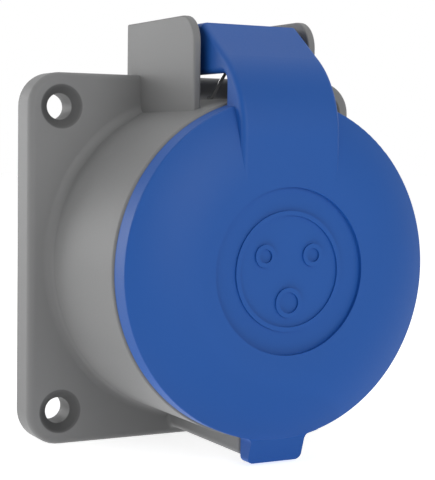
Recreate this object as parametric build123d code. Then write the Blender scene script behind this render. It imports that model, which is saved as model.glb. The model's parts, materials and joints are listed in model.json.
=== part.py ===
from build123d import *
from math import acos, atan2, cos, degrees, hypot, radians, sin, sqrt, tan
import os

# A panel socket of the round pin-and-sleeve kind: a square flange, a round collar with a
# keyway, a sprung lid on two ears, and a contact insert with its terminals behind the panel.
# Millimetres. X runs across the flange, Y runs into the panel and Z is up. The origin is the
# centre of the flange's back face. A depth is measured forward from that face, so it lies at
# Y = -depth, and what is behind the panel has a negative depth.

# Flange
flange_margin = 1.5
flange_thickness = 5.8
flange_corner_radius = 6.0
flange_edge_radius = 1.2
screw_edge_distance = 6.0
screw_hole_radius = 2.3
screw_head_radius = 3.7
screw_lip = 0.35
seal_rim_width = 2.5
seal_thickness = 1.4
seal_clearance = 0.1
seal_boss_wall = 1.3

# Collar and the tube behind the panel
bore_radius = 26.0
collar_wall = 2.8
rim_depth = 32.25
root_radius = 1.6
rib_root_radius = 0.8
tube_edge_chamfer = 0.6
rim_edge_radius = 0.5
tube_wall = 2.0
plug_depth = 37.25
floor_thickness = 2.5
floor_opening_gap = 0.1

# Keyway at six o'clock and the rib that covers it
keyway_width = 7.6
keyway_height = 3.2
keyway_start = 2.0
keyway_overlap = 3.0
rib_wall = 2.3
rib_side_wall = 1.5
rib_edge_radius = 1.0

# Hinge: two ears and a pin that is pushed in from the right
ear_thickness = 1.4
ear_above_pin = 5.55
ear_depth = 26.75
ear_corner_radius = 4.85
ear_edge_radius = 0.35
boss_radius = 2.9
boss_height = 0.85
pin_radius = 1.3
pin_depth = 13.5
pin_above_collar = 8.05
pin_seat_clearance = 0.02
pin_running_clearance = 0.06
pin_blind_skin = 0.75
pin_blind_gap = 0.05
pin_end_recess = 0.3
pin_chamfer = 0.2

# Lid
lid_inset = 0.3
lid_gap = 0.2
lid_side_gap = 0.3
lid_rim_thickness = 3.85
lid_edge_radius = 0.35
crown_height = 3.1
badge_radius = 13.9
badge_margin = 2.3
badge_recess = 0.7
lid_skin = 2.2
mark_height = 0.35
mark_line = 0.75
mark_margin = 3.9
mark_circle_radius = 5.2
mark_small_radius = 1.9
mark_large_radius = 2.5

# Strap that carries the lid from the hinge
strap_width = 18.7
strap_foot_height = 14.5
strap_back_step = 0.75
strap_top_depth = 24.6
strap_slope = 36.0
strap_bend_radius = 16.5
strap_inner_radius = 1.8
strap_edge_radius = 1.0
strap_wall = 1.5
strap_skin = 1.8
hollow_setback = 2.7
barrel_radius = 4.35

# Finger tab under the lid
tab_width = 10.3
tab_below_rib = 1.0
tab_back_step = 0.15
tab_taper = 1.3
tab_corner_radius = 1.1
tab_root_radius = 1.0

# Lid seal
lid_seal_overhang = 0.9
lid_seal_margin = 1.1
lid_seal_ledge = 1.5
lid_seal_depth = 1.7
lid_seal_gap = 0.05
lid_seal_slack = 0.1

# Lid spring
wire_radius = 0.33
coil_radius = 2.8
coil_pitch = 0.78
coil_turns = 4
spring_x = 1.0
spring_foot_reach = 4.6
spring_foot_length = 1.45
spring_foot_gap = 0.08
spring_arm_hold = 1.0
spring_hole_radius = 0.55
spring_hole_end_gap = 0.5
pocket_radius = 3.35
pocket_open_angle = 38.0

# Contact insert
plug_gap_width = 4.75
insert_setback = 3.45
insert_edge_chamfer = 0.6
insert_wall = 1.9
insert_base_thickness = 3.0
insert_base_clearance = 0.1
contact_circle_radius = 13.5
contact_angle = 120.0
phase_hole_radius = 2.95
earth_hole_radius = 3.95
hole_lead_in = 0.8
insert_face_thickness = 4.0
insert_room_clearance = 0.2
pole_tube_wall = 1.2
nose_clearance = 0.03

# Contact sleeves
phase_bore_radius = 2.55
earth_bore_radius = 3.55
sleeve_wall = 1.35
sleeve_bore_length = 26.0
sleeve_slot_width = 0.8
sleeve_slot_length = 12.0
sleeve_collar_step = 1.0
sleeve_collar_play = 0.1
sleeve_front_gap = 0.3
ring_thickness = 0.5
ring_seat_depth = 0.2
ring_seat_clearance = 0.02
ring_width = 2.4
ring_side_gap = 0.1
ring_offset = 3.0
ring_gap = 1.2

# Terminals and their boxes behind the floor
rear_plate_thickness = 2.5
rear_plate_inset = 1.6
box_length = 14.0
box_bore_clearance = 0.1
box_wall = 1.6
box_end_thickness = 4.5
box_corner_radius = 1.0
terminal_hole_radius = 2.1
terminal_hole_length = 11.0
wire_entry_radius = 3.0
wire_entry_funnel = 0.8
screw_station = 5.8
terminal_screw_radius = 1.5
terminal_screw_clearance = 0.05
terminal_head_radius = 2.5
terminal_head_height = 1.9
terminal_head_gap = 0.65
driver_slot_width = 0.7
driver_slot_depth = 0.9
driver_hole_radius = 2.9
screw_head_cover = 0.9
pressure_plate_width = 2.6
pressure_plate_length = 6.0
pressure_plate_thickness = 0.6
pressure_plate_gap = 0.05

# Screws that hold insert, floor and rear plate together
fixing_inset = 2.6
fixing_radius = 1.2
fixing_clearance = 0.05
fixing_tip_cover = 0.6
fixing_tip_gap = 0.3
fixing_head_radius = 2.1
fixing_head_height = 1.5
fixing_head_edge = 0.5
fixing_slot_depth = 0.65

# Places that follow from the sizes above
collar_radius = bore_radius + collar_wall
tube_radius = bore_radius + tube_wall
seat_depth = rim_depth - plug_depth
floor_front = seat_depth - insert_base_thickness
floor_back = floor_front - floor_thickness
rib_bottom = bore_radius + keyway_height + rib_wall
rib_width = keyway_width + 2 * rib_side_wall
flange_side = 2 * (rib_bottom + flange_margin)
screw_spacing = flange_side - 2 * screw_edge_distance
lid_radius = collar_radius - lid_inset
lid_back = rim_depth + lid_gap
lid_edge_depth = lid_back + lid_rim_thickness
crown_depth = lid_edge_depth + crown_height
badge_floor = crown_depth - badge_recess
lid_seal_inner_radius = bore_radius - lid_seal_overhang
lid_seal_outer_radius = lid_radius - lid_seal_margin
strap_back_depth = lid_back + strap_back_step
hollow_depth = strap_back_depth - hollow_setback
spring_arm_length = hollow_depth - pin_depth + spring_arm_hold
pin_height = collar_radius + pin_above_collar
hinge = (-pin_depth, pin_height)
ear_inner = strap_width / 2 + lid_side_gap + boss_height
ear_outer = ear_inner + ear_thickness
insert_radius = bore_radius - plug_gap_width
insert_front_depth = rim_depth - insert_setback
insert_face_back = insert_front_depth - insert_face_thickness
sleeve_front = insert_face_back - sleeve_front_gap
fixing_circle_radius = bore_radius - fixing_inset
contact_reach = contact_circle_radius + earth_bore_radius + sleeve_wall + sleeve_collar_step
floor_opening_radius = contact_reach + floor_opening_gap
rear_plate_back = floor_back - rear_plate_thickness
box_back = rear_plate_back - box_length
sleeve_back = box_back + box_end_thickness
screw_depth = sleeve_back + screw_station


def layer(depth):
    """Sketch plane at a depth, looking at the panel: its x is X, its y is Z, and it grows forward."""
    return Plane.XZ.offset(depth)


def disc(radius, back, front, x=0.0, z=0.0):
    """Round solid between two depths."""
    return extrude(layer(back) * Pos(x, z) * Circle(radius), front - back)


def ring(inner, outer, back, front, x=0.0, z=0.0):
    """Round wall between two depths."""
    return disc(outer, back, front, x, z) - disc(inner, back, front, x, z)


def bar_along_x(radius, x_from, x_to, y, z):
    """Round solid that lies across the part."""
    return Pos((x_from + x_to) / 2, y, z) * Rot(0, 90, 0) * Cylinder(radius, x_to - x_from)


def side_plate(outline, x_from, x_to):
    """Solid with a (Y, Z) outline between two X places."""
    return extrude(Plane.YZ.offset(x_from) * outline, x_to - x_from)


def funnel(radius, lead, front, z):
    """Cone that widens a hole towards its front."""
    cone = Cone(radius, radius + lead, lead, align=(Align.CENTER, Align.CENTER, Align.MIN))
    return layer(front - lead) * Pos(0, z, 0) * cone


def screw_places():
    """X and Z of the four panel screws."""
    half = screw_spacing / 2
    return [(x, z) for x in (-half, half) for z in (-half, half)]


def contact_turns():
    """Turn about the Y axis that brings a contact from six o'clock to its place."""
    return {"earth": 0.0, "line": contact_angle, "neutral": -contact_angle}


def placed(shape, turn):
    """Shape made at six o'clock, turned to its own place round the insert."""
    return Rot(0, turn, 0) * shape


# Housing

def flange():
    outline = RectangleRounded(flange_side, flange_side, flange_corner_radius)
    body = extrude(layer(0) * outline, flange_thickness)
    front_edges = body.faces().sort_by(Axis.Y)[0].edges()
    return fillet(front_edges, flange_edge_radius)


def ear(side):
    """Hinge ear with a boss round the pin; side is -1 for the left and 1 for the right."""
    root = sqrt(bore_radius ** 2 - ear_inner ** 2)
    top = pin_height + ear_above_pin
    outline = make_face(Polyline((0, root), (0, top), (-ear_depth, top), (-ear_depth, root), close=True))
    corner = outline.vertices().group_by(Axis.Y)[-1].sort_by(Axis.X)[0]
    outline = fillet(corner, ear_corner_radius)
    plate = side_plate(outline, ear_inner, ear_outer)
    worn_edges = [
        e for e in plate.edges()
        if abs(e.tangent_at(0.5).X) < 0.1 and e.center().Y < -0.1 and e.center().Z > root + 0.1
    ]
    plate = fillet(worn_edges, ear_edge_radius)
    plate += bar_along_x(boss_radius, ear_inner - boss_height, ear_inner, *hinge)
    if side < 0:
        plate = mirror(plate, about=Plane.YZ)
    return plate


def rib():
    outline = Pos(0, -rib_bottom / 2) * Rectangle(rib_width, rib_bottom)
    outline = fillet(outline.vertices().group_by(Axis.Y)[0], rib_edge_radius)
    return extrude(layer(0) * outline, rim_depth)


def countersunk_hole(x, z):
    """Cutter for a screw hole whose cone runs out into the face in a rounded lip."""
    cone_back = flange_thickness - (screw_head_radius - screw_hole_radius)
    slope = screw_lip * sqrt(0.5)
    lip_start = (screw_head_radius - slope, flange_thickness - slope)
    lip_end = (screw_head_radius + screw_lip, flange_thickness)
    lip = TangentArc(lip_start, lip_end, tangent=(1, 1))
    rest = Polyline(
        lip_end,
        (screw_head_radius + screw_lip, flange_thickness + 1),
        (0, flange_thickness + 1),
        (0, -1),
        (screw_hole_radius, -1),
        (screw_hole_radius, cone_back),
        lip_start,
    )
    return Pos(x, 0, z) * revolve(mirror(make_face([lip, rest]), about=Plane.XZ), Axis.Y)


def face_at_depth(shape, depth):
    """Largest flat face that looks forward at a depth."""
    found = [f for f in shape.faces().filter_by(Axis.Y) if abs(f.center().Y + depth) < 0.01]
    return ShapeList(found).sort_by(SortBy.AREA)[-1]


def seal_outline(clearance):
    """Outline of the seal: round the tube, inside the flange's rim and inside the screw holes."""
    side = flange_side - 2 * seal_rim_width - 2 * clearance
    across = screw_spacing * sqrt(2) - 2 * (screw_hole_radius + seal_boss_wall + clearance)
    outline = Rectangle(side, side) & Rot(0, 0, 45) * Rectangle(across, across)
    return outline - Circle(tube_radius + clearance)


def root_ring():
    """Ring with a hollow curve, from the flange's face up to the collar's side."""
    side = root_radius + 1
    square = Pos(collar_radius - 1 + side / 2, flange_thickness - 1 + side / 2) * Rectangle(side, side)
    curve = Pos(collar_radius + root_radius, flange_thickness + root_radius) * Circle(root_radius)
    return revolve(mirror(square - curve, about=Plane.XZ), Axis.Y)


def tube():
    body = disc(tube_radius, floor_back, 0)
    return chamfer(body.edges().filter_by(GeomType.CIRCLE).sort_by(Axis.Y)[-1], tube_edge_chamfer)


def seam():
    """What belongs to the collar where it passes through the flange."""
    return disc(collar_radius + root_radius, -1, flange_thickness)


def flange_plate():
    """Square plate with its screw holes; the collar fills its middle."""
    body = flange() - extrude(layer(-0.01) * seal_outline(0), seal_thickness + 0.01) - seam()
    for x, z in screw_places():
        body -= countersunk_hole(x, z)
    return body


def housing():
    shell = flange() + rib()
    shell = fillet(face_at_depth(shell, flange_thickness).inner_wires()[0].edges(), rib_root_radius)
    shell -= flange() - seam()
    shell += disc(collar_radius, 0, rim_depth) + root_ring()
    shell = fillet(face_at_depth(shell, rim_depth).outer_wire().edges(), rim_edge_radius)
    shell += (ear(-1) + ear(1)) - (flange() - seam())
    shell += tube()
    shell -= disc(bore_radius, floor_front, rim_depth + 1)
    shell -= disc(floor_opening_radius, floor_back - 1, floor_front)
    keyway_top = -(bore_radius - keyway_overlap)
    keyway_bottom = -(bore_radius + keyway_height)
    slot = Pos(0, (keyway_top + keyway_bottom) / 2) * Rectangle(keyway_width, keyway_top - keyway_bottom)
    shell -= extrude(layer(keyway_start) * slot, rim_depth + 1 - keyway_start)
    shell -= extrude(layer(-0.01) * seal_outline(0), seal_thickness + 0.01)
    pin_hole_end = ear_outer - pin_blind_skin
    shell -= bar_along_x(pin_radius + pin_seat_clearance, -pin_hole_end, ear_outer + 1, *hinge)
    for side in (-1, 1):
        shell -= fixing_bore(side, floor_back, floor_front)
    return shell


def flange_gasket():
    return extrude(layer(0) * seal_outline(seal_clearance), seal_thickness)


# Lid with its strap, tab, seal, pin and spring

def lid_dish():
    """Round cover, crowned towards the front, turned about Y."""
    flat_end = (badge_radius + badge_margin, crown_depth)
    rim_front = (lid_radius, lid_edge_depth)
    crown = TangentArc(flat_end, rim_front, tangent=(1, 0))
    rest = Polyline(rim_front, (lid_radius, lid_back), (0, lid_back), (0, crown_depth), flat_end)
    profile = make_face([crown, rest])
    rim_corner = profile.vertices().sort_by_distance((*rim_front, 0))[0]
    profile = fillet(rim_corner, lid_edge_radius)
    profile = mirror(profile, about=Plane.XZ)
    return revolve(profile, Axis.Y)


def strap_outline():
    """Side view of the strap, from the lid's face over the bend to the barrel round the pin."""
    drop = (crown_depth - strap_top_depth) * tan(radians(strap_slope))
    top = pin_height + barrel_radius
    bottom = pin_height - barrel_radius
    bend = (-crown_depth, top - drop)
    inner_corner = (-strap_back_depth, bottom)
    outline = make_face(Polyline(
        (-crown_depth, strap_foot_height),
        bend,
        (-strap_top_depth, top),
        (-pin_depth, top),
        (-pin_depth, bottom),
        inner_corner,
        (-strap_back_depth, strap_foot_height),
        close=True,
    ))
    outline = fillet(outline.vertices().sort_by_distance((*bend, 0))[0], strap_bend_radius)
    outline = fillet(outline.vertices().sort_by_distance((*inner_corner, 0))[0], strap_inner_radius)
    return outline + Pos(*hinge) * Circle(barrel_radius)


def strap():
    body = side_plate(strap_outline(), -strap_width / 2, strap_width / 2)
    outer_faces = [f for f in body.faces() if f.normal_at().Z - f.normal_at().Y > -0.5]
    worn_edges = [
        e for f in outer_faces if abs(f.normal_at().X) < 0.5
        for e in f.edges() if abs(e.tangent_at(0.5).X) < 0.5
    ]
    return fillet(worn_edges, strap_edge_radius)


def strap_hollow():
    """Room between the strap's side walls, open below, and behind so that the spring's foot clears it."""
    y, z = hinge
    reach = barrel_radius + 1
    lift = radians(pocket_open_angle)
    slope = radians(strap_slope)
    ceiling = z + barrel_radius - strap_skin
    bend_y = -strap_top_depth + strap_skin * tan(slope / 2)
    outline = make_face(Polyline(
        (-hollow_depth, z - reach),
        (-hollow_depth, ceiling - (bend_y + hollow_depth) * tan(slope)),
        (bend_y, ceiling),
        (y, ceiling),
        (y, z),
        (y + reach * cos(lift), z + reach * sin(lift)),
        (y + 2 * reach, z),
        (y + 2 * reach, z - reach),
        close=True,
    ))
    outline += Pos(y, z) * Circle(pocket_radius)
    half = strap_width / 2 - strap_wall
    arm_x = spring_x - coil_pitch * coil_travel()
    arm_end = pin_depth + spring_arm_length + spring_hole_end_gap
    arm_hole = disc(spring_hole_radius, pin_depth, arm_end, arm_x, z - coil_radius)
    return side_plate(outline, -half, half) + arm_hole


def tab():
    """Finger tab that runs out of the round rim in a small curve on each side."""
    bottom = -rib_bottom - tab_below_rib
    root = -lid_seal_outer_radius
    back = lid_back + tab_back_step
    front_view = Circle(lid_radius) + Pos(0, bottom / 2) * Rectangle(tab_width, -bottom)
    low_corners = front_view.vertices().group_by(Axis.Y)[0]
    front_view = fillet(low_corners, tab_corner_radius)
    root_corners = [v for v in front_view.vertices() if abs(abs(v.X) - tab_width / 2) < 0.01]
    root_corners = ShapeList(root_corners).group_by(Axis.Y)[-1]
    front_view = fillet(root_corners, tab_root_radius)
    side_view = make_face(Polyline(
        (-lid_edge_depth, root),
        (-lid_edge_depth, -lid_radius),
        (-lid_edge_depth + tab_taper, bottom),
        (-back, bottom),
        (-back, root),
        close=True,
    ))
    block = extrude(layer(back) * front_view, lid_edge_depth - back)
    return block & side_plate(side_view, -tab_width, tab_width)


def lid_marks():
    """Plain picture of a socket face in raised lines on the round recess."""
    front = badge_floor + mark_height
    back = badge_floor - 0.2
    outer = badge_radius - mark_margin
    marks = ring(outer - mark_line, outer, back, front)
    for name, turn in contact_turns().items():
        radius = mark_large_radius if name == "earth" else mark_small_radius
        marks += placed(ring(radius - mark_line, radius, back, front, 0, -mark_circle_radius), turn)
    return marks


def lid():
    body = lid_dish() + tab() + strap()
    body -= disc(badge_radius, badge_floor, crown_depth + 1)
    body += lid_marks()
    body -= disc(lid_seal_inner_radius - lid_seal_ledge, lid_back - 1, badge_floor - lid_skin)
    groove = (lid_seal_inner_radius - lid_seal_slack, lid_seal_outer_radius + lid_seal_slack)
    body -= ring(*groove, lid_back - 1, lid_back + lid_seal_depth)
    body -= strap_hollow()
    body -= bar_along_x(pin_radius + pin_running_clearance, -strap_width, strap_width, *hinge)
    return body


def lid_gasket():
    front = lid_back + lid_seal_depth
    return ring(lid_seal_inner_radius, lid_seal_outer_radius, rim_depth + lid_seal_gap, front)


def hinge_pin():
    left = -ear_outer + pin_blind_skin + pin_blind_gap
    pin = bar_along_x(pin_radius, left, ear_outer - pin_end_recess, *hinge)
    return chamfer(pin.edges().filter_by(GeomType.CIRCLE), pin_chamfer)


def foot_place():
    """Y and Z where the spring's lower leg bends onto the collar."""
    return (-pin_depth + spring_foot_reach, collar_radius + wire_radius + spring_foot_gap)


def leave_angle():
    """Angle round the pin at which the lower leg leaves the coil, in degrees."""
    y, z = foot_place()
    reach = (y - hinge[0], z - hinge[1])
    return degrees(atan2(reach[1], reach[0]) - acos(coil_radius / hypot(*reach)))


def coil_travel():
    """Turns of the coil, from the lower leg round to the arm that leaves it at the bottom."""
    return coil_turns + (leave_angle() + 90) % 360 / 360


def wire_run(start, end):
    """Straight wire between two points, with a round end at the start."""
    start = Vector(*start)
    end = Vector(*end)
    plane = Plane(origin=start, z_dir=end - start)
    run = extrude(plane * Circle(wire_radius), (end - start).length)
    return run + Pos(start) * Sphere(wire_radius)


def lid_spring():
    angle = radians(leave_angle())
    y, z = hinge
    coil_plane = Plane(origin=(spring_x, y, z), x_dir=(0, cos(angle), sin(angle)), z_dir=(-1, 0, 0))
    path = coil_plane * Helix(coil_pitch, coil_pitch * coil_travel(), coil_radius)
    section = Plane(origin=path @ 0, z_dir=path % 0) * Circle(wire_radius)
    spring = sweep(section, path=path, is_frenet=True)
    foot = (spring_x, *foot_place())
    toe = (foot[0], foot[1] + spring_foot_length, foot[2])
    spring += wire_run(path @ 0, foot) + wire_run(foot, toe)
    return spring + wire_run(path @ 1, path @ 1 - Vector(0, spring_arm_length, 0))


# Contact insert

def fixing_bore(side, back, front):
    """Hole for one of the two screws that hold insert, floor and rear plate together."""
    return disc(fixing_radius + fixing_clearance, back, front, side * fixing_circle_radius, 0)


def sleeve_radius(name):
    bore = earth_bore_radius if name == "earth" else phase_bore_radius
    return bore + sleeve_wall


def room_radius(name):
    """Radius of the round room in the insert in which a contact floats."""
    return sleeve_radius(name) + ring_thickness + insert_room_clearance


def insert_face():
    """Front of the insert, with a round hole for the nose of each pole tube."""
    body = disc(insert_radius, insert_face_back, insert_front_depth)
    front_edge = body.edges().filter_by(GeomType.CIRCLE).sort_by(Axis.Y)[0]
    body = chamfer(front_edge, insert_edge_chamfer)
    for name, turn in contact_turns().items():
        hole = room_radius(name) + pole_tube_wall + nose_clearance
        body -= placed(disc(hole, insert_face_back - 1, insert_front_depth + 1, 0, -contact_circle_radius), turn)
    return body


def contact_insert():
    """Round wall of the insert, which the plug's shroud slides over, clear of the contacts' rooms."""
    body = ring(insert_radius - insert_wall, insert_radius, seat_depth, insert_face_back)
    for name, turn in contact_turns().items():
        room = disc(room_radius(name), seat_depth - 1, insert_face_back + 1, 0, -contact_circle_radius)
        body -= placed(room, turn)
    return body


def pole_tube(name):
    """Tube round one contact, with a nose that fills its hole in the face and holds the pin's mouth."""
    mouth = earth_hole_radius if name == "earth" else phase_hole_radius
    room = room_radius(name)
    z = -contact_circle_radius
    tube = disc(room + pole_tube_wall, seat_depth, insert_face_back, 0, z)
    tube &= disc(insert_radius - insert_wall, seat_depth, insert_face_back)
    tube += disc(room + pole_tube_wall, insert_face_back, insert_front_depth, 0, z)
    tube -= disc(room, seat_depth - 1, insert_face_back, 0, z)
    tube -= disc(mouth, insert_face_back - 1, insert_front_depth + 1, 0, z)
    return tube - funnel(mouth, hole_lead_in, insert_front_depth, z)


def insert_base():
    """Plate on the housing's floor that carries the insert and takes the two screws."""
    body = disc(bore_radius - insert_base_clearance, floor_front, seat_depth)
    for name, turn in contact_turns().items():
        room = disc(room_radius(name), floor_front - 1, seat_depth + 1, 0, -contact_circle_radius)
        body -= placed(room, turn)
    for side in (-1, 1):
        body -= fixing_bore(side, floor_front - 1, seat_depth - fixing_tip_cover + fixing_tip_gap)
    return body


def contact_sleeve(name):
    """Turned contact: split at the front, with a collar, and a wire hole with a screw at the back."""
    bore = earth_bore_radius if name == "earth" else phase_bore_radius
    outer = sleeve_radius(name)
    z = -contact_circle_radius
    body = disc(outer, sleeve_back, sleeve_front, 0, z)
    body += disc(outer + sleeve_collar_step, floor_back, floor_front - sleeve_collar_play, 0, z)
    body -= disc(bore, sleeve_front - sleeve_bore_length, sleeve_front + 1, 0, z)
    slot_back = sleeve_front - sleeve_slot_length
    for size in ((3 * outer, sleeve_slot_width), (sleeve_slot_width, 3 * outer)):
        body -= extrude(layer(slot_back) * Pos(0, z) * Rectangle(*size), sleeve_slot_length + 1)
    ring_front = sleeve_front - ring_offset
    groove_back = ring_front - ring_width - ring_side_gap
    body -= ring(outer - ring_seat_depth, outer + 1, groove_back, ring_front + ring_side_gap, 0, z)
    body -= disc(terminal_hole_radius, sleeve_back - 1, sleeve_back + terminal_hole_length, 0, z)
    return body - upright_bar(terminal_screw_radius + terminal_screw_clearance, z - outer - 1, z)


def upright_bar(radius, z_from, z_to):
    """Round solid on the axis of a terminal screw at six o'clock."""
    return extrude(Plane.XY.offset(z_from) * Pos(0, -screw_depth) * Circle(radius), z_to - z_from)


def spring_ring(name):
    """Split steel ring that presses the contact's fingers onto the pin."""
    inner = sleeve_radius(name) - ring_seat_depth + ring_seat_clearance
    front = sleeve_front - ring_offset
    z = -contact_circle_radius
    body = ring(inner, inner + ring_thickness, front - ring_width, front, 0, z)
    cut = Pos(0, z - inner) * Rectangle(ring_gap, 4 * ring_thickness)
    return body - extrude(layer(front - ring_width - 1) * cut, ring_width + 2)


# Terminals

def rear_plate():
    """Plate behind the floor that carries the terminal boxes and clamps the contacts' collars."""
    body = disc(tube_radius - rear_plate_inset, rear_plate_back, floor_back)
    for name, turn in contact_turns().items():
        room = sleeve_radius(name) + box_bore_clearance
        body -= placed(disc(room, rear_plate_back - 1, floor_back + 1, 0, -contact_circle_radius), turn)
    for side in (-1, 1):
        body -= fixing_bore(side, rear_plate_back - 1, floor_back + 1)
    return body


def screw_head_bottom(name):
    """Z of the outer end of a terminal screw's head at six o'clock."""
    return -contact_circle_radius - sleeve_radius(name) - terminal_head_gap - terminal_head_height


def terminal_box(name):
    """Insulating box round a contact's rear end, with a wire entry and a hole for the driver."""
    z = -contact_circle_radius
    room = sleeve_radius(name) + box_bore_clearance
    screw_side = screw_head_bottom(name) - screw_head_cover
    width = 2 * (driver_hole_radius + box_wall)
    outline = Pos(0, (z + screw_side) / 2) * Rectangle(width, z - screw_side)
    outline = fillet(outline.vertices().group_by(Axis.Y)[0], box_corner_radius)
    outline += Pos(0, z) * Circle(room + box_wall)
    body = extrude(layer(box_back) * outline, box_length)
    body -= disc(room, sleeve_back, rear_plate_back + 1, 0, z)
    body -= disc(wire_entry_radius, box_back - 1, sleeve_back, 0, z)
    body -= mirror(funnel(wire_entry_radius, wire_entry_funnel, -box_back, z), about=Plane.XZ)
    return body - upright_bar(driver_hole_radius, screw_side - 1, z)


def terminal_screw(name):
    """Slotted screw that comes up through the contact's wall and bears on the pressure plate."""
    tip = pressure_plate_bottom()
    head_bottom = screw_head_bottom(name)
    body = upright_bar(terminal_screw_radius, head_bottom, tip)
    body += upright_bar(terminal_head_radius, head_bottom, head_bottom + terminal_head_height)
    slot = Pos(0, -screw_depth) * Rectangle(3 * terminal_head_radius, driver_slot_width)
    return body - extrude(Plane.XY.offset(head_bottom) * slot, driver_slot_depth)


def pressure_plate_bottom():
    """Z of the plate's lower face when it lies at the bottom of the wire hole at six o'clock."""
    chord = sqrt(terminal_hole_radius ** 2 - (pressure_plate_width / 2) ** 2)
    return -contact_circle_radius - chord + pressure_plate_gap


def pressure_plate():
    """Small plate over the screw's tip that keeps the strands together."""
    plate = Box(
        pressure_plate_width,
        pressure_plate_length,
        pressure_plate_thickness,
        align=(Align.CENTER, Align.CENTER, Align.MIN),
    )
    return Pos(0, -screw_depth, pressure_plate_bottom()) * plate


def fixing_screw(side):
    x = side * fixing_circle_radius
    head = disc(fixing_head_radius, rear_plate_back - fixing_head_height, rear_plate_back, x, 0)
    head = fillet(head.edges().filter_by(GeomType.CIRCLE).sort_by(Axis.Y)[-1], fixing_head_edge)
    shank = disc(fixing_radius, rear_plate_back, seat_depth - fixing_tip_cover, x, 0)
    slot = Pos(x, 0) * Rectangle(3 * fixing_head_radius, driver_slot_width)
    return head + shank - extrude(layer(rear_plate_back - fixing_head_height) * slot, fixing_slot_depth)


def nodes():
    parts = {
        "flange": flange_plate(),
        "housing": housing(),
        "flange_gasket": flange_gasket(),
        "lid": lid(),
        "lid_gasket": lid_gasket(),
        "hinge_pin": hinge_pin(),
        "lid_spring": lid_spring(),
        "insert_face": insert_face(),
        "contact_insert": contact_insert(),
        "insert_base": insert_base(),
        "rear_plate": rear_plate(),
        "fixing_screw_left": fixing_screw(-1),
        "fixing_screw_right": fixing_screw(1),
    }
    for name, turn in contact_turns().items():
        parts[name + "_pole_tube"] = placed(pole_tube(name), turn)
        parts[name + "_contact"] = placed(contact_sleeve(name), turn)
        parts[name + "_spring_ring"] = placed(spring_ring(name), turn)
        parts[name + "_terminal_box"] = placed(terminal_box(name), turn)
        parts[name + "_terminal_screw"] = placed(terminal_screw(name), turn)
        parts[name + "_pressure_plate"] = placed(pressure_plate(), turn)
    return parts


os.makedirs("parts", exist_ok=True)
for node, shape in nodes().items():
    export_step(shape, "parts/" + node + ".step")
    print(node, round(shape.volume, 1), "mm3")
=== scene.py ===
# %% [markdown]
# # An industrial panel socket, dressed for its picture
#
# The shapes with real sizes come from the CAD model: a grey moulded housing, a blue sprung lid,
# and behind them the insert, the contacts and the terminals. This file gives them their
# surfaces, winds a smooth lid spring, cuts real screws, adds the contact marks and the traces of
# the mould, and sets up the camera and the light. Everything is in metres, with Y into the panel
# and Z up.

# %% Load the packed model
import bmesh
import bpy
import json
from math import acos, atan2, degrees, pi, radians, tan
from mathutils import Matrix, Vector


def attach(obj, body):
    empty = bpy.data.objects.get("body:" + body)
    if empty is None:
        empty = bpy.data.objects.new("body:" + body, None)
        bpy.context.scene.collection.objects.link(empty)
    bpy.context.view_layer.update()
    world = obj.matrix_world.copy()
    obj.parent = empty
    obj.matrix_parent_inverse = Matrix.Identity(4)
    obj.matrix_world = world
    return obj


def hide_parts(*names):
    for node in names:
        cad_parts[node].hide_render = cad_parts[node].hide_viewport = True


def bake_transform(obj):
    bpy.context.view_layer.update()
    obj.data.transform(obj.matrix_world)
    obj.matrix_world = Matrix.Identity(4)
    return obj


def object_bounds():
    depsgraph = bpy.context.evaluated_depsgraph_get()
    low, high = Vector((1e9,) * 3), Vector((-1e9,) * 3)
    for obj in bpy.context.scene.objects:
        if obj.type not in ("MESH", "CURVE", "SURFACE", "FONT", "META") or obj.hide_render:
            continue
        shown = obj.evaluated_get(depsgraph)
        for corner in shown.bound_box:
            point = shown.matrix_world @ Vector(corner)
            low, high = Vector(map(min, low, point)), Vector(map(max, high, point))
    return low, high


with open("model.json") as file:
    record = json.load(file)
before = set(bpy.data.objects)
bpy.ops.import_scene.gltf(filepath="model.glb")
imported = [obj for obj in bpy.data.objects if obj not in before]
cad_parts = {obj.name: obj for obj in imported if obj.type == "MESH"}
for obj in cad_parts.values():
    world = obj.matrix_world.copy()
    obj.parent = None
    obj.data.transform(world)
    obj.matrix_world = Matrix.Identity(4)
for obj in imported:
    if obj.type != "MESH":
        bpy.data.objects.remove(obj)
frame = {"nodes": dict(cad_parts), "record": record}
cad_low, cad_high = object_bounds()
nodes = frame["nodes"]
print("CAD nodes:", len(nodes))

# %% [markdown]
# ## Camera
#
# The photograph is taken from the front left, turned by about 28 degrees, nearly level and from
# close by, so the far side of the flange looks smaller. A camera could be placed by eye, but then
# its distance and its lens are easily confused. These values were fitted to the flange's corners,
# the screw holes and the lid's circles. A Blender camera looks straight down at first. The
# product of matrices below works from right to left: the small roll about the lens's own axis,
# then the lens is raised until it is nearly level, then it is swung round and moved into place.

# %% Camera
MM = 0.001
LENS = 103.78
SENSOR = 36
NEAR_LIMIT = 0.01
CAMERA_PLACE = Vector((-117.32, -233.40, 20.15)) * MM
CAMERA_SWING = radians(28.105)
CAMERA_PITCH = radians(3.818)
CAMERA_ROLL = radians(0.811)

lens = bpy.data.cameras.new("camera")
lens.lens = LENS
lens.sensor_width = SENSOR
lens.clip_start = NEAR_LIMIT
camera = bpy.data.objects.new("camera", lens)
bpy.context.scene.collection.objects.link(camera)
swing = Matrix.Rotation(-CAMERA_SWING, 4, "Z")
raise_to_level = Matrix.Rotation(pi / 2 - CAMERA_PITCH, 4, "X")
roll = Matrix.Rotation(CAMERA_ROLL, 4, "Z")
camera.matrix_world = Matrix.Translation(CAMERA_PLACE) @ swing @ raise_to_level @ roll
bpy.context.scene.camera = camera
bpy.context.scene.view_settings.view_transform = "Standard"
print("camera", round(camera.location.length, 3), "m from the flange")

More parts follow.
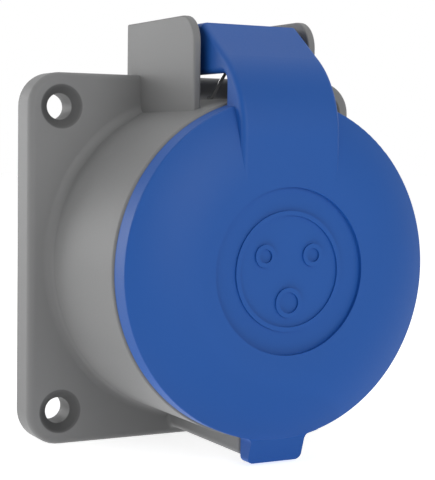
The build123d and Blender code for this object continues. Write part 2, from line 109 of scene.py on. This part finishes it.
# %% [markdown]
# ## Writing shader maths as Python
#
# A material in Blender is a small graph of nodes. It can be wired by hand, node by node, but that
# takes many lines and hides what is meant. Here two small classes do it, so that a formula looks
# like a formula. `Signal` wraps one socket and adds a Math node for each Python operator. `Graph`
# holds the nodes of a material or of the world: its `node` method makes any other node from its
# type, its settings and what goes into its sockets.

# %% Signal and Graph
class Signal:
    """One output socket of a graph, used in sums as if it were a number."""

    def __init__(self, graph, socket):
        self.graph = graph
        self.socket = socket

    def _math(self, operation, first, second):
        return self.graph.node("Math", {"operation": operation}, {0: first, 1: second})

    def __add__(self, other):
        return self._math("ADD", self, other)

    def __sub__(self, other):
        return self._math("SUBTRACT", self, other)

    def __rsub__(self, other):
        return self._math("SUBTRACT", other, self)

    def __mul__(self, other):
        return self._math("MULTIPLY", self, other)

    __radd__ = __add__
    __rmul__ = __mul__


class Graph:
    """The nodes of one material or of the world."""

    def __init__(self, owner):
        owner.use_nodes = True
        self.tree = owner.node_tree
        self.tree.nodes.clear()

    def node(self, kind, settings=None, inputs=None, output=0):
        """Add a node and give back one of its outputs, or the node itself if it has none."""
        made = self.tree.nodes.new("ShaderNode" + kind)
        for key, value in (settings or {}).items():
            setattr(made, key, value)
        for key, value in (inputs or {}).items():
            if isinstance(value, Signal):
                self.tree.links.new(value.socket, made.inputs[key])
            else:
                made.inputs[key].default_value = value
        return Signal(self, made.outputs[output]) if made.outputs else made


operators = [name for name in vars(Signal) if name.endswith(("add__", "sub__", "mul__"))]
print("operators on a Signal:", operators)

# %% [markdown]
# ## World
#
# The picture is lit like a catalogue picture: everything around the object is white. A white
# world alone would do that, but it would also flatten every shape. So the world is plain white
# for the camera, in reflections and through clear things, while the light that it sheds on
# surfaces is only a share of that, and lamps do the rest.

# %% World
WHITE = (1, 1, 1, 1)
WORLD_LIGHT = 0.3

world = bpy.data.worlds.new("studio")
bpy.context.scene.world = world
studio = Graph(world)
camera_ray = studio.node("LightPath", output="Is Camera Ray")
glossy_ray = studio.node("LightPath", output="Is Glossy Ray")
glass_ray = studio.node("LightPath", output="Is Transmission Ray")
clamped_sum = {"operation": "ADD", "use_clamp": True}
seen = studio.node("Math", clamped_sum, {0: camera_ray + glossy_ray, 1: glass_ray})
strength = seen * (1 - WORLD_LIGHT) + WORLD_LIGHT
sky = studio.node("Background", None, {"Color": WHITE, "Strength": strength})
studio.node("OutputWorld", None, {"Surface": sky})
print("world nodes:", len(studio.tree.nodes))

# %% [markdown] ## Floor  In the picture the object stands on a white table that can't be told
# from the background, with hardly a shadow. A table of white paper would look grey away from the
# lamps. So this one is like a light table: it glows a little by itself, and a lamp below it
# shines through, because it casts no shadow. The object's own shadow still falls on it.

# %% Floor
FLOOR_SIZE = 4.0
FLOOR_COLOUR = (0.86, 0.86, 0.86, 1)
FLOOR_GLOW = 0.75

mesh = bpy.data.meshes.new("floor")
shape = bmesh.new()
bmesh.ops.create_grid(shape, x_segments=1, y_segments=1, size=FLOOR_SIZE / 2)
bmesh.ops.translate(shape, verts=shape.verts, vec=(0, 0, cad_low.z))
shape.to_mesh(mesh)
shape.free()
floor = bpy.data.objects.new("floor", mesh)
bpy.context.scene.collection.objects.link(floor)
floor.visible_shadow = False
paper = bpy.data.materials.new("floor paper")
graph = Graph(paper)
matt = graph.node("BsdfDiffuse", None, {"Color": FLOOR_COLOUR})
camera_ray = graph.node("LightPath", output="Is Camera Ray")
glossy_ray = graph.node("LightPath", output="Is Glossy Ray")
glow = (camera_ray + glossy_ray) * FLOOR_GLOW
light = graph.node("Emission", None, {"Strength": glow})
both = graph.node("AddShader", None, {0: matt, 1: light})
graph.node("OutputMaterial", None, {"Surface": both})
mesh.materials.append(paper)
print("floor at", round(cad_low.z, 4), "m")

# %% [markdown]
# ## Lamps
#
# The picture tells where its lamps stand. The flange's left side is brighter than its front, the
# collar grows darker towards the flange, which stands in the light's way, and the ear is only
# bright where it rises above the flange. So one lamp stands on the left and one further back on
# that side, with one in front, one on top and two below. The one under the table is the
# strongest, because the undersides are nearly as bright as the sides. Small lamps would draw hard
# shadows, which the picture doesn't have, so all are half a metre wide or more. Their powers were
# found by comparing tones at thirty places.

# %% Lamps
MIDDLE = Vector((0, -0.015, 0.004))
LAMPS = {
    "left lamp": {"place": (-0.70, 0.20, 0.00), "side": 0.5, "power": 1.5},
    "back lamp": {"place": (-0.32, 0.66, 0.02), "side": 0.5, "power": 1.9},
    "front lamp": {"place": (0.05, -0.75, 0.25), "side": 0.5, "power": 2.15},
    "top lamp": {"place": (0.0, 0.05, 0.65), "side": 0.6, "power": 1.15},
    "table lamp": {"place": (-0.10, -0.15, -0.60), "side": 0.6, "power": 3.3},
    "low left lamp": {"place": (-0.45, -0.30, -0.45), "side": 0.5, "power": 0.8},
}


def soft_lamp(name, place, side, power):
    """Large square lamp that looks at the middle of the object."""
    data = bpy.data.lights.new(name, "AREA")
    data.shape = "SQUARE"
    data.size = side
    data.energy = power
    lamp = bpy.data.objects.new(name, data)
    bpy.context.scene.collection.objects.link(lamp)
    lamp.location = place
    lamp.rotation_euler = (MIDDLE - Vector(place)).to_track_quat("-Z", "Y").to_euler()


for name, settings in LAMPS.items():
    soft_lamp(name, **settings)
    print(name, settings["power"], "W")

# %% [markdown]
# ## Parts of a finish
#
# Every finish here is made of the same few parts: soft noise, a colour between two others, small
# hills on the skin and the surface itself. A picture of a surface could be wrapped round the
# shapes instead, but it would need seams and would blur close by. Noise in object coordinates
# has neither fault. Each part gets a small function, so that the finishes below read easily.

# %% Noise, colour, skin and surface
NOISE_DETAIL = 3.0


def noise(graph, size, detail=NOISE_DETAIL, where=None):
    """Soft random value between 0 and 1 whose blobs are about that size, in metres."""
    where = where or graph.node("TexCoord", output="Object")
    return graph.node("TexNoise", None, {"Vector": where, "Scale": 1 / size, "Detail": detail})


def mix(graph, share, first, second):
    """Colour between two others."""
    settings = {"data_type": "RGBA", "clamp_factor": True}
    return graph.node("Mix", settings, {0: share, 6: first, 7: second}, output=2)


def tone(colour, factor):
    """The same colour, lighter or darker."""
    return (*[min(1.0, channel * factor) for channel in colour], 1)


def skin(graph, height, depth):
    """Normal of a surface with small hills of that depth, in metres."""
    return graph.node("Bump", None, {"Height": height, "Distance": depth, "Strength": 1.0})


def surface(graph, **sockets):
    """Principled surface; the underscores in a word stand for the spaces in a socket's name."""
    inputs = {key.replace("_", " "): value for key, value in sockets.items()}
    shader = graph.node("BsdfPrincipled", None, inputs)
    graph.node("OutputMaterial", None, {"Surface": shader})


print("grey, a tenth lighter:", [round(channel, 3) for channel in tone((0.5, 0.5, 0.5), 1.1)])

# %% [markdown]
# ## Moulded plastic
#
# Nearly everything here is moulded plastic. It has a fine, even texture from the spark-eroded
# mould, slow changes in tone where the melt flowed, and a dull sheen. Plain noise in the colour
# would look like dirt. So a noise of a third of a millimetre makes the texture and goes into the
# skin, one of two centimetres makes the flow and goes into the colour, and both go into the
# roughness. The same function makes the rubber of the seals.

# %% Moulded plastic
GRAIN = 0.34 * MM
FLOW = 20 * MM
GRAIN_IN_GLOSS = 0.12
FLOW_IN_GLOSS = 0.1
PLASTIC_GLOSS = 0.3
BLACK = (0, 0, 0, 1)
GREY = (0.212, 0.213, 0.214)
BLUE = (0.009, 0.083, 0.345)
COAL = (0.035, 0.036, 0.040)
RUBBER = (0.022, 0.022, 0.023)


def moulded_plastic(name, colour, roughness, texture_depth, cloud=0.06, painted_shade_zone=None):
    """Plastic; the last argument, if given, is a function that gives the share of painted shade at
    each place.
    """
    material = bpy.data.materials.new(name)
    graph = Graph(material)
    grain = noise(graph, GRAIN)
    flow = noise(graph, FLOW)
    tint = mix(graph, flow, tone(colour, 1 - cloud), tone(colour, 1 + cloud))
    if painted_shade_zone:
        # Painted shade: the zone's share pulls the colour towards black.
        tint = mix(graph, painted_shade_zone(graph), tint, BLACK)
    surface(
        graph,
        Base_Color=tint,
        Roughness=(grain - 0.5) * GRAIN_IN_GLOSS + (flow - 0.5) * FLOW_IN_GLOSS + roughness,
        Specular_IOR_Level=PLASTIC_GLOSS,
        Normal=skin(graph, grain, texture_depth),
    )
    return material


grey_plastic = moulded_plastic("grey housing plastic", GREY, 0.52, 0.014 * MM)
blue_plastic = moulded_plastic("blue lid plastic", BLUE, 0.50, 0.010 * MM, cloud=0.04)
insert_plastic = moulded_plastic("insert plastic", COAL, 0.45, 0.010 * MM)
seal_rubber = moulded_plastic("seal rubber", RUBBER, 0.72, 0.018 * MM)
print("plastics:", [m.name for m in (grey_plastic, blue_plastic, insert_plastic, seal_rubber)])

# %% [markdown]
# ## Painted shade in the flange's countersinks
#
# The countersinks should look darker than their slope alone makes them, so shade is painted into
# the plastic's colour there. A second mesh could carry a darker plastic, but a mask in the
# material leaves the CAD shape as it is. All four are found at once: the coordinates are folded
# into one quarter, and what counts is how far a place is from the screw's axis. The straight hole
# and the back face stay light.

# %% Flange plastic with painted shade
SCREW_OFFSET = 27.0 * MM
CONE_RADII = (2.32 * MM, 2.42 * MM, 3.75 * MM, 4.0 * MM)
CONE_DEPTHS = (4.2 * MM, 4.4 * MM)
# Share of black painted into the cones as shade.
CONE_PAINTED_SHADE = 0.5


def rise(graph, value, start, end):
    """Smooth step from 0 to 1."""
    limits = {"Value": value, "From Min": start, "From Max": end}
    return graph.node("MapRange", {"interpolation_type": "SMOOTHSTEP"}, limits)


def vector_maths(graph, operation, first, second=(0, 0, 0), output=0):
    return graph.node("VectorMath", {"operation": operation}, {0: first, 1: second}, output)


def painted_countersink_shade(graph):
    """Share of painted shade: the set share on the cones, 0 elsewhere."""
    place = graph.node("TexCoord", output="Object")
    folded = vector_maths(graph, "ABSOLUTE", place)
    from_axis = vector_maths(graph, "SUBTRACT", folded, (SCREW_OFFSET, 0, SCREW_OFFSET))
    across = vector_maths(graph, "MULTIPLY", from_axis, (1, 0, 1))
    radius = vector_maths(graph, "LENGTH", across, output="Value")
    depth = vector_maths(graph, "DOT_PRODUCT", place, (0, -1, 0), "Value")
    hole, cone, lip, face = CONE_RADII
    inside = rise(graph, radius, hole, cone) * (1 - rise(graph, radius, lip, face))
    return inside * rise(graph, depth, *CONE_DEPTHS) * CONE_PAINTED_SHADE


# The flange's plastic, with shade painted into its countersinks.
flange_plastic_painted_shade = moulded_plastic(
    "grey flange plastic with painted countersink shade", GREY, 0.52, 0.014 * MM,
    painted_shade_zone=painted_countersink_shade,
)
print("flange nodes:", len(flange_plastic_painted_shade.node_tree.nodes))

# %% [markdown]
# ## Metals
#
# The contacts are turned from brass bar, so their surface has fine rings round the axis. A wave
# texture would draw them too evenly. In object coordinates they are a noise that is stretched
# until it only changes along Y. The screws, the pin and the springs are zinc plated or drawn
# steel: the same surface with much weaker rings, a little cloudy and duller.

# %% Brass and steel
RING_PITCH = 0.09 * MM
RING_STRETCH = (0.02, 1.0, 0.02)
RING_DETAIL = 2.0
CLOUD = 3 * MM
CLOUD_DARK = 0.88
CLOUD_LIGHT = 1.06
CLOUD_IN_GLOSS = 0.16


def turned_metal(name, colour, roughness, ring_depth):
    """Metal with rings round the Y axis."""
    material = bpy.data.materials.new(name)
    graph = Graph(material)
    place = graph.node("TexCoord", output="Object")
    stretched = graph.node("Mapping", None, {"Vector": place, "Scale": RING_STRETCH})
    rings = noise(graph, RING_PITCH, RING_DETAIL, stretched)
    cloud = noise(graph, CLOUD)
    surface(
        graph,
        Base_Color=mix(graph, cloud, tone(colour, CLOUD_DARK), tone(colour, CLOUD_LIGHT)),
        Metallic=1.0,
        Roughness=(cloud - 0.5) * CLOUD_IN_GLOSS + roughness,
        Normal=skin(graph, rings, ring_depth),
    )
    return material


brass = turned_metal("turned brass", (0.80, 0.61, 0.30), 0.24, 0.003 * MM)
zinc_steel = turned_metal("zinc plated steel", (0.62, 0.63, 0.64), 0.34, 0.0015 * MM)
spring_steel = turned_metal("spring wire", (0.70, 0.70, 0.70), 0.22, 0.001 * MM)
print("metals:", [m.name for m in (brass, zinc_steel, spring_steel)])

# %% [markdown]
# ## Dressing the CAD nodes
#
# The CAD model says for each node what it is made of. A finish could be given node by node, but a
# table from that word to a material can't forget one. Only the flange has its own.

# %% Give each CAD node its finish
FINISH_OF_SLOT = {
    "housing_plastic": grey_plastic,
    "lid_plastic": blue_plastic,
    "insert_plastic": insert_plastic,
    "seal_rubber": seal_rubber,
    "steel": zinc_steel,
    "brass": brass,
}
slot_of_node = {part["node"]: part["material_slot"] for part in frame["record"]["subparts"]}
for name, node in nodes.items():
    node.data.materials.clear()
    node.data.materials.append(FINISH_OF_SLOT[slot_of_node[name]])
# The flange gets the plastic with painted shade in its countersinks.
nodes["flange"].data.materials[0] = flange_plastic_painted_shade
print("dressed:", len(nodes), "nodes")

# %% [markdown]
# ## Making a piece
#
# Every piece below is drawn with mesh operators in its final place, in metres. The last steps
# are always the same, so one function does them: points that lie on each other become one, the
# faces are turned outwards, the shading is smooth except over sharp edges, and the piece is tied
# to the body it moves with.

# %% Piece helper
SHARP = radians(35)
MERGE = 0.0005 * MM


def piece(name, shape, material, body):
    bmesh.ops.remove_doubles(shape, verts=shape.verts, dist=MERGE)
    bmesh.ops.recalc_face_normals(shape, faces=shape.faces)
    mesh = bpy.data.meshes.new(name)
    shape.to_mesh(mesh)
    shape.free()
    mesh.shade_smooth()
    mesh.set_sharp_from_angle(angle=SHARP)
    mesh.materials.append(material)
    made = bpy.data.objects.new(name, mesh)
    bpy.context.scene.collection.objects.link(made)
    if body:
        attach(made, body)
    print(name, len(mesh.polygons), "faces")
    return made


def only(kind, parts):
    """The points, edges or faces out of what an operator gave back."""
    return [part for part in parts if isinstance(part, kind)]


def ring_of(drawn):
    """The edges of a circle that was just drawn."""
    return list({edge for point in drawn["verts"] for edge in point.link_edges})


def draw_out(shape, edges, step):
    """Extrude a ring of edges along a straight line and give back its new end."""
    made = bmesh.ops.extrude_edge_only(shape, edges=edges)["geom"]
    points = only(bmesh.types.BMVert, made)
    bmesh.ops.translate(shape, verts=points, vec=step)
    ends = set(points)
    return [edge for edge in shape.edges if edge.verts[0] in ends and edge.verts[1] in ends]


def round_off(shape, edges, offset, segments):
    """Round edges with a bevel."""
    bmesh.ops.bevel(
        shape, geom=edges, offset=offset, segments=segments,
        profile=0.5, affect="EDGES", material=-1,
    )


# %% [markdown]
# ## The lid spring
#
# A torsion spring shuts the lid. It is one piece of wire: a short foot that lies on the collar, a
# leg up to the coil, nearly five turns round the hinge pin, and an arm that goes forward under
# the strap and into the lid. It could be a curve with a round section, but a curve of bends and
# turns needs many handles. Here it is drawn like the real one is wound. A small ring of edges is
# drawn out along the straight parts and spun round an axis for each bend, with a step sideways
# for the coil, which the wire leaves at its lowest point.

# %% Lid spring
WIRE = 0.33 * MM
WIRE_SIDES = 12
WIRE_END_ROUND = 0.12 * MM
COIL = 2.8 * MM
COIL_STEP = 0.78 * MM
FULL_TURNS = 4
STEPS_PER_TURN = 32
HINGE = Vector((0, -13.5, 36.85)) * MM
FOOT = Vector((1.0, -8.9, 29.21)) * MM
FOOT_LENGTH = 1.45 * MM
FOOT_BEND = 0.9 * MM
FOOT_BEND_STEPS = 8
ARM_LENGTH = 18.0 * MM
LEFTWARD = Vector((-1, 0, 0))

foot_from_hinge = Vector((0, FOOT.y - HINGE.y, FOOT.z - HINGE.z))
leave = atan2(foot_from_hinge.z, foot_from_hinge.y) - acos(COIL / foot_from_hinge.length)
turns = FULL_TURNS + (degrees(leave) + 90) % 360 / 360
to_coil = Matrix.Rotation(leave, 3, "X") @ Vector((0, COIL, 0))
on_coil = Vector((FOOT.x, HINGE.y, HINGE.z)) + to_coil
leg = on_coil - FOOT
bend = Vector((0, -1, 0)).angle(leg)
bend_run = FOOT_BEND * tan(bend / 2)

wire = bmesh.new()
toe = FOOT + Vector((0, FOOT_LENGTH, 0))
upright = Matrix.Translation(toe) @ Matrix.Rotation(pi / 2, 4, "X")
bmesh.ops.create_circle(wire, segments=WIRE_SIDES, radius=WIRE, matrix=upright)
end = draw_out(wire, wire.edges[:], (0, bend_run - FOOT_LENGTH, 0))
bent = bmesh.ops.spin(
    wire, geom=end, cent=FOOT + Vector((0, bend_run, FOOT_BEND)), axis=LEFTWARD,
    angle=bend, steps=FOOT_BEND_STEPS,
)
end = only(bmesh.types.BMEdge, bent["geom_last"])
end = draw_out(wire, end, leg - leg.normalized() * bend_run)
steps = round(STEPS_PER_TURN * turns)
wound = bmesh.ops.spin(
    wire, geom=end, cent=HINGE, axis=LEFTWARD, dvec=LEFTWARD * (COIL_STEP * turns / steps),
    angle=2 * pi * turns, steps=steps,
)
end = only(bmesh.types.BMEdge, wound["geom_last"])
draw_out(wire, end, (0, -ARM_LENGTH, 0))
open_ends = [edge for edge in wire.edges if edge.is_boundary]
caps = bmesh.ops.edgeloop_fill(wire, edges=open_ends)["faces"]
round_off(wire, [edge for cap in caps for edge in cap.edges], WIRE_END_ROUND, 2)
spring = piece("wound_lid_spring", wire, spring_steel, None)
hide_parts("lid_spring")
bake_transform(spring)
print("coil turns:", round(turns, 2))

# %% [markdown]
# ## A screw's head
#
# Electrical fittings use screws whose head takes a flat blade and a cross tip. The recess could
# be cut with a Boolean, which often leaves messy faces round it. Here the head starts as a flat
# disc. Cuts with straight planes divide it, and every field outside the slot and the cross is
# drawn up, so the recess stays low and is open where the slot reaches the side.

# %% Screw head
CUT_SNAP = 0.00001 * MM
HEAD_SIDES = 48
HEAD_ROUND = 0.6
TOP_RIM = 0.999
SIDE_RIM = 0.99
LEVEL = 0.01 * MM


def cut_through(shape, place, direction):
    """Divide every face that a plane crosses."""
    everything = shape.verts[:] + shape.edges[:] + shape.faces[:]
    bmesh.ops.bisect_plane(
        shape, geom=everything, plane_co=place, plane_no=direction, dist=CUT_SNAP,
    )


def screw_head(shape, radius, height, slot, depth, cross):
    """Head whose top lies at z = 0 and looks up, with a slot along y and a shorter one along x."""
    floor_level = Matrix.Translation((0, 0, -depth))
    bmesh.ops.create_circle(
        shape, segments=HEAD_SIDES, radius=radius, cap_ends=True, matrix=floor_level,
    )
    for side in (-1, 1):
        cut_through(shape, (side * slot / 2, 0, 0), (1, 0, 0))
        cut_through(shape, (0, side * slot / 2, 0), (0, 1, 0))
        cut_through(shape, (side * cross, 0, 0), (1, 0, 0))
    lands = []
    for face in shape.faces:
        x, y = [abs(value) for value in face.calc_center_median()[:2]]
        in_recess = x < slot / 2 or (y < slot / 2 and x < cross)
        if not in_recess:
            lands.append(face)
    raised = bmesh.ops.extrude_face_region(shape, geom=lands)["geom"]
    bmesh.ops.translate(shape, verts=only(bmesh.types.BMVert, raised), vec=(0, 0, depth))
    bmesh.ops.delete(shape, geom=lands, context="FACES_ONLY")
    rim = [
        edge for edge in only(bmesh.types.BMEdge, raised)
        if min(point.co.xy.length for point in edge.verts) > TOP_RIM * radius
    ]
    round_off(shape, rim, HEAD_ROUND * depth, 3)
    outline = [
        edge for edge in shape.edges
        if all(
            abs(point.co.z + depth) < LEVEL and point.co.xy.length > SIDE_RIM * radius
            for point in edge.verts
        )
    ]
    underside = draw_out(shape, outline, (0, 0, depth - height))
    bmesh.ops.edgeloop_fill(shape, edges=underside)


print("head of", HEAD_SIDES, "sides")

# %% [markdown]
# ## A screw's thread
#
# Below the head the shank carries a thread. A bump in the material would look like one from the
# front, but not in outline. So a small three-sided section is spun round the shank, with a step
# down for each turn, and a rounded tip ends the core.

# %% Screw shank
THREAD_STEP = 0.5 * MM
THREAD_DEPTH = 0.28 * MM
THREAD_SIDES = 24
TOOTH_OUT = 0.3 * THREAD_DEPTH
TOOTH_RADIUS = 0.7 * THREAD_DEPTH
SHANK_OVERLAP = 0.2 * MM
TIP_ROUND = 0.2 * MM


def shank(shape, radius, top, length):
    """Plain core with a rounded tip and a thread round it."""
    core = radius - THREAD_DEPTH
    inside_head = Matrix.Translation((0, 0, top + SHANK_OVERLAP))
    ring = ring_of(bmesh.ops.create_circle(
        shape, segments=THREAD_SIDES, radius=core, cap_ends=True, matrix=inside_head,
    ))
    tip = draw_out(shape, ring, (0, 0, -length - SHANK_OVERLAP))
    cap = bmesh.ops.edgeloop_fill(shape, edges=tip)["faces"]
    round_off(shape, [edge for face in cap for edge in face.edges], TIP_ROUND, 2)
    on_core = Matrix.Translation((core + TOOTH_OUT, 0, top - THREAD_STEP))
    upright = Matrix.Rotation(pi / 2, 4, "X") @ Matrix.Rotation(-pi / 2, 4, "Z")
    tooth = ring_of(bmesh.ops.create_circle(
        shape, segments=3, radius=TOOTH_RADIUS, matrix=on_core @ upright,
    ))
    rounds = int((length - 3 * THREAD_STEP) / THREAD_STEP)
    bmesh.ops.spin(
        shape, geom=tooth, cent=(0, 0, 0), axis=(0, 0, 1),
        dvec=(0, 0, -THREAD_STEP / THREAD_SIDES),
        angle=2 * pi * rounds, steps=THREAD_SIDES * rounds,
    )
    ends = [edge for edge in shape.edges if edge.is_boundary and edge.calc_length() < THREAD_STEP]
    bmesh.ops.holes_fill(shape, edges=ends, sides=3)


print("thread step", THREAD_STEP / MM, "mm")

# %% [markdown]
# ## Terminal screws
#
# Three terminal screws stand in the boxes behind the panel, heads outwards, and push a small
# plate onto the wire. One mesh could be shared by objects in several places, but every object
# here stays at the origin, so each screw is drawn and turned into its place. They take the place
# of the plain CAD screws.

# %% Terminal screws
CONTACT_CIRCLE = 13.5 * MM
TURNS = {"earth": 0.0, "line": 120.0, "neutral": -120.0}
SLEEVE_RADIUS = {"earth": 4.9 * MM, "line": 3.9 * MM, "neutral": 3.9 * MM}
TERMINAL_SCREW_Y = 16.7 * MM
TERMINAL_RADIUS = 1.5 * MM
TERMINAL_TIP = -15.1 * MM
HEAD_GAP = 0.65 * MM
HEAD_HEIGHT = 1.9 * MM
TERMINAL_HEAD = {"radius": 2.5 * MM, "slot": 0.7 * MM, "depth": 0.9 * MM, "cross": 1.45 * MM}

for name, turn in TURNS.items():
    head = -CONTACT_CIRCLE - SLEEVE_RADIUS[name] - HEAD_GAP - HEAD_HEIGHT
    screw = bmesh.new()
    screw_head(screw, height=HEAD_HEIGHT, **TERMINAL_HEAD)
    shank(screw, TERMINAL_RADIUS, -HEAD_HEIGHT, TERMINAL_TIP - head - HEAD_HEIGHT)
    outwards = Matrix.Translation((0, TERMINAL_SCREW_Y, head)) @ Matrix.Rotation(pi, 4, "Y")
    round_socket = Matrix.Rotation(radians(turn), 4, "Y")
    bmesh.ops.transform(screw, verts=screw.verts, matrix=round_socket @ outwards)
    made = piece(name + "_cross_slot_screw", screw, zinc_steel, "socket")
    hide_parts(name + "_terminal_screw")

# %% [markdown]
# ## Fixing screws
#
# Two thinner screws with the same kind of head clamp the rear plate, the housing's floor and the
# insert together. They are drawn by the same two functions and only turned another way.

# %% Fixing screws
FIXING_PLACES = {"left": (-23.4 * MM, 14.5 * MM, 0), "right": (23.4 * MM, 14.5 * MM, 0)}
FIXING_RADIUS = 1.2 * MM
FIXING_LENGTH = 7.4 * MM
FIXING_HEIGHT = 1.5 * MM
FIXING_HEAD = {"radius": 2.1 * MM, "slot": 0.7 * MM, "depth": 0.65 * MM, "cross": 1.2 * MM}

for where, place in FIXING_PLACES.items():
    screw = bmesh.new()
    screw_head(screw, height=FIXING_HEIGHT, **FIXING_HEAD)
    shank(screw, FIXING_RADIUS, -FIXING_HEIGHT, FIXING_LENGTH)
    backwards = Matrix.Translation(place) @ Matrix.Rotation(-pi / 2, 4, "X")
    bmesh.ops.transform(screw, verts=screw.verts, matrix=backwards)
    made = piece("rear_screw_" + where, screw, zinc_steel, "socket")
    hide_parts("fixing_screw_" + where)

# %% [markdown]
# ## Contact marks
#
# Beside each contact the mould leaves its mark, on the insert's face for the user and on the rear
# plate for the fitter: L and N for the two line contacts and the earth sign for the third. They
# could be painted by the material, but real ones are raised and only show by their edges. The
# letters are text objects turned into meshes, with a little height. The earth sign is four bars.

# %% Letters and earth signs
MARK_HEIGHT = 0.18 * MM
MARK_SIZE = 3.4 * MM
LETTER_WEIGHT = 0.03
BAR_ROUND = 0.05 * MM
FACE_Y = -28.8 * MM
REAR_PLATE_Y = 13.0 * MM
MARK_CENTRES = {"line": (-4.3, 2.5), "neutral": (4.3, 2.5), "earth": (0.0, -3.9)}
# Each bar of the earth sign: its centre's height, its width and its thickness, in mark sizes.
EARTH_BARS = ((0.26, 0.11, 0.5), (0.0, 0.78, 0.11), (-0.2, 0.5, 0.11), (-0.4, 0.22, 0.11))


def letter(text):
    """Raised letter in the plane z = 0."""
    words = bpy.data.curves.new(text, "FONT")
    words.body = text
    words.size = MARK_SIZE
    words.align_x = "CENTER"
    words.align_y = "CENTER"
    words.extrude = MARK_HEIGHT
    words.offset = LETTER_WEIGHT * MARK_SIZE
    maker = bpy.data.objects.new(text, words)
    bpy.context.scene.collection.objects.link(maker)
    evaluated = maker.evaluated_get(bpy.context.evaluated_depsgraph_get())
    mesh = bpy.data.meshes.new_from_object(evaluated)
    shape = bmesh.new()
    shape.from_mesh(mesh)
    bpy.data.meshes.remove(mesh)
    bpy.data.objects.remove(maker)
    bpy.data.curves.remove(words)
    return shape


def earth_sign():
    """Stem on three bars, each shorter than the last."""
    shape = bmesh.new()
    for centre, width, thickness in EARTH_BARS:
        place = Matrix.Translation((0, centre * MARK_SIZE, 0))
        size = (width * MARK_SIZE, thickness * MARK_SIZE, 2 * MARK_HEIGHT, 1)
        bmesh.ops.create_cube(shape, size=1, matrix=place @ Matrix.Diagonal(size))
    round_off(shape, shape.edges[:], BAR_ROUND, 1)
    return shape


def place_mark(name, side, y):
    """Mark of one contact on a face that looks along y; side is -1 in front and 1 behind."""
    shape = earth_sign() if name == "earth" else letter(name[0].upper())
    x, z = MARK_CENTRES[name]
    facing = Matrix.Rotation(pi / 2, 4, "X")
    if side > 0:
        facing = Matrix.Rotation(pi, 4, "Z") @ facing
    to_face = Matrix.Translation((x * MM, y, z * MM))
    bmesh.ops.transform(shape, verts=shape.verts, matrix=to_face @ facing)
    where = "front" if side < 0 else "rear"
    piece(name + "_mark_" + where, shape, insert_plastic, "socket")


for name in TURNS:
    place_mark(name, -1, FACE_Y)
    place_mark(name, 1, REAR_PLATE_Y)

# %% [markdown]
# ## Traces of the mould
#
# Round pins push a moulding out of its mould and leave low rings on its hidden side. They are on
# the rear plate and inside the lid. A torus from the menu would be too round for such a trace.
# So each ring is a flat oval section, half sunk into the face and spun once round the pin's axis.

# %% Ejector rings
EJECTOR_RADIUS = 1.4 * MM
EJECTOR_WIDTH = 0.14 * MM
EJECTOR_RISE = 0.07 * MM
EJECTOR_STEPS = 48
SECTION_SIDES = 8
LID_INSIDE_Y = -36.5 * MM
REAR_EJECTORS = ((-18.5, -12.0), (18.5, -12.0), (-8.0, 21.0), (8.0, 21.0))
LID_EJECTORS = ((-14.0, -12.0), (14.0, -12.0), (-14.0, 12.0), (14.0, 12.0))


def ejector_rings(places, y):
    """Ring round each place, in millimetres, on a face at y."""
    shape = bmesh.new()
    for x, z in places:
        centre = Vector((x * MM, y, z * MM))
        on_ring = Matrix.Translation(centre + Vector((EJECTOR_RADIUS, 0, 0)))
        oval = Matrix.Diagonal((EJECTOR_WIDTH, EJECTOR_RISE, 1, 1))
        section = ring_of(bmesh.ops.create_circle(
            shape, segments=SECTION_SIDES, radius=1, matrix=on_ring @ oval,
        ))
        bmesh.ops.spin(
            shape, geom=section, cent=centre, axis=(0, 1, 0),
            angle=2 * pi, steps=EJECTOR_STEPS, use_merge=True,
        )
    return shape


rear_rings = ejector_rings(REAR_EJECTORS, REAR_PLATE_Y)
piece("ejector_rings_rear", rear_rings, insert_plastic, "socket")
lid_rings = ejector_rings(LID_EJECTORS, LID_INSIDE_Y)
piece("ejector_rings_lid", lid_rings, blue_plastic, "lid")

# %% [markdown]
